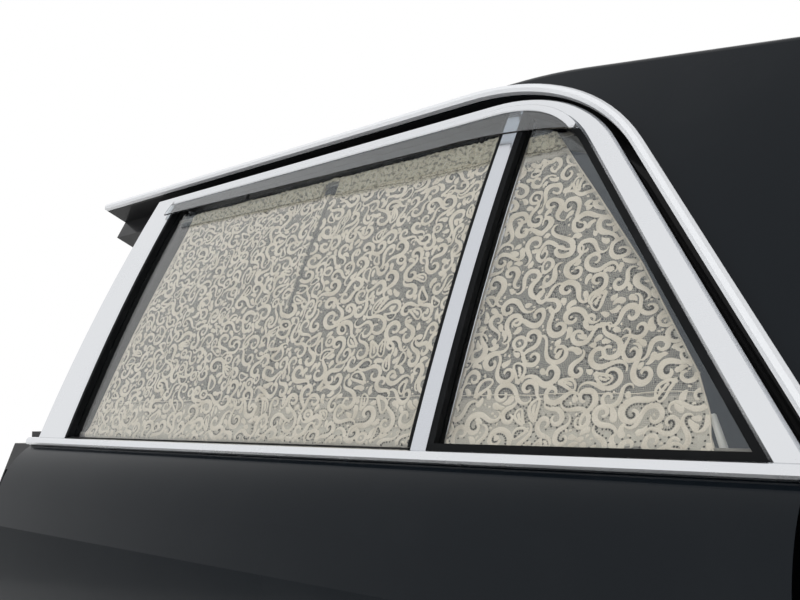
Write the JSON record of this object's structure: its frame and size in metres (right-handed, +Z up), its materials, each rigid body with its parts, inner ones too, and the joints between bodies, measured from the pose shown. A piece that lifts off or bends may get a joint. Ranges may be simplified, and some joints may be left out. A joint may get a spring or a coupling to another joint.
{
  "type": "hearse side door in its body frame",
  "caption": "Black hearse side door with lace curtains, bright window frame and two panes, hung in its body frame.",
  "frame": {"origin": "middle of the sill's flat underside", "axes": "+X rearwards along the vehicle, +Y inboard, +Z up; the outside looks towards -Y"},
  "size_m": [1.255, 0.368, 1.1687],
  "materials": {
    "black_paint": "deep gloss",
    "satin_chrome": "satin",
    "bright_chrome": "polished",
    "black_rubber": "matt",
    "tinted_glass": "clear",
    "clear_acrylic": "clear, smoked edge",
    "cream_lace": "lace",
    "rod_white": "satin",
    "zinc_steel": "zinc plated",
    "black_vinyl": "grained",
    "ivory_plastic": "gloss"
  },
  "bodies": {
    "body_side": {"sill": "black_paint", "centre_pillar": "black_paint", "upper_pillar": "black_paint", "roof_rail": "black_paint", "rear_pillar": "black_paint", "lock_pillar": "black_paint", "quarter_skin": "black_paint", "roof_panel": "black_paint", "opening_flange": "black_paint", "drip_moulding": "satin_chrome", "aperture_seal": "black_rubber", "lower_hinge_pillar_leaf": "zinc_steel", "upper_hinge_pillar_leaf": "zinc_steel", "latch_striker": "zinc_steel"},
    "door": {"armrest": "black_vinyl", "belt_moulding": "satin_chrome", "belt_wiper": "black_rubber", "division_bar": "satin_chrome", "door_inner": "black_paint", "door_latch": "zinc_steel", "door_skin": "black_paint", "frame_trim": "satin_chrome", "glass_run": "black_rubber", "inner_handle": "bright_chrome", "lock_pin": "ivory_plastic", "lower_hinge_door_leaf": "zinc_steel", "main_bottom_rod": "rod_white", "main_curtain": "cream_lace", "main_glass": "tinted_glass", "main_top_rod": "rod_white", "outer_handle": "bright_chrome", "quarter_bottom_rod": "rod_white", "quarter_curtain": "cream_lace", "quarter_glass": "tinted_glass", "quarter_seal": "black_rubber", "quarter_top_rod": "rod_white", "rain_deflector": "clear_acrylic", "trim_panel": "black_vinyl", "upper_hinge_door_leaf": "zinc_steel", "window_crank": "bright_chrome", "window_frame": "black_paint"}
  },
  "joints": [
    {"name": "door_hinge", "type": "hinge", "parent": "body_side", "child": "door", "pos_m": [-0.534, -0.104, 0.414], "axis": [0, 0, -1], "range_deg": [0, 68]}
  ]
}
